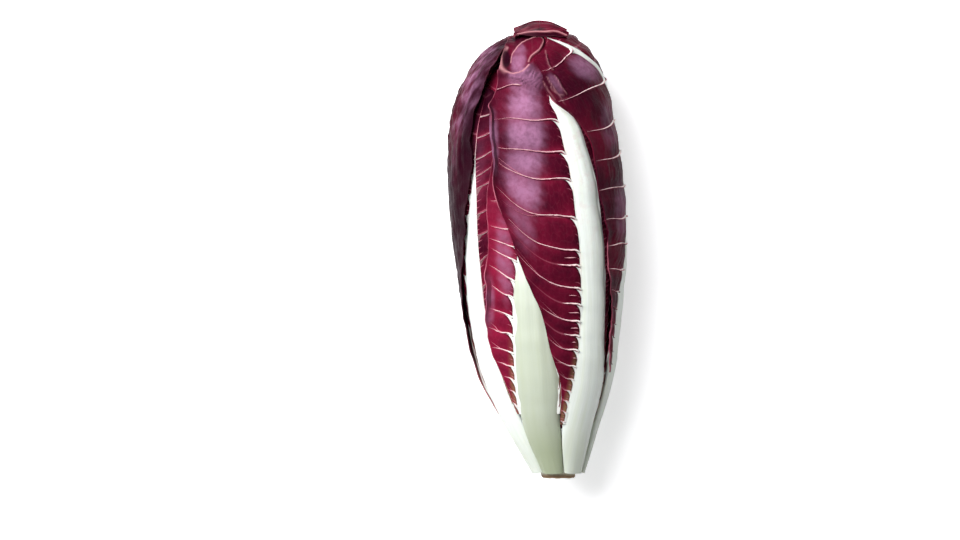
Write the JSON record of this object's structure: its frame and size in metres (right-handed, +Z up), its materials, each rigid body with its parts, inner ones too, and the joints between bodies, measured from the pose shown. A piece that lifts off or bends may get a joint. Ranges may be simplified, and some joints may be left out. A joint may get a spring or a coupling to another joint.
{
  "type": "treviso radicchio head",
  "caption": "Long closed head of red chicory lying on its side: burgundy leaves with white ribs wrapped round a heart, with a short cut stem.",
  "frame": {"origin": "on the table, under the middle of the head's box as it lies", "axes": "+Y from the cut stem to the leaf tips, +Z up, +X towards the side where the widest leaf rib lies"},
  "size_m": [0.095, 0.2417, 0.0824],
  "materials": {
    "leaf_blade": "satin waxy leaf, deep burgundy",
    "leaf_rib": "smooth moist rib, white to pale green",
    "inner_blade": "satin leaf, crimson",
    "heart": "packed young leaves, crimson",
    "cut_stem": "dry cut face, tan"
  },
  "bodies": {
    "root": {"front_leaf_blade": "leaf_blade", "front_leaf_rib": "leaf_rib", "right_leaf_blade": "leaf_blade", "right_leaf_rib": "leaf_rib", "middle_leaf_blade": "leaf_blade", "middle_leaf_rib": "leaf_rib", "left_leaf_blade": "leaf_blade", "left_leaf_rib": "leaf_rib", "far_left_leaf_blade": "leaf_blade", "far_left_leaf_rib": "leaf_rib", "under_leaf_blade": "leaf_blade", "under_leaf_rib": "leaf_rib", "back_right_leaf_blade": "leaf_blade", "back_right_leaf_rib": "leaf_rib", "inner_leaf_top": "inner_blade", "inner_leaf_right": "inner_blade", "inner_leaf_left": "inner_blade", "heart": "heart", "stem": "cut_stem"}
  },
  "joints": []
}
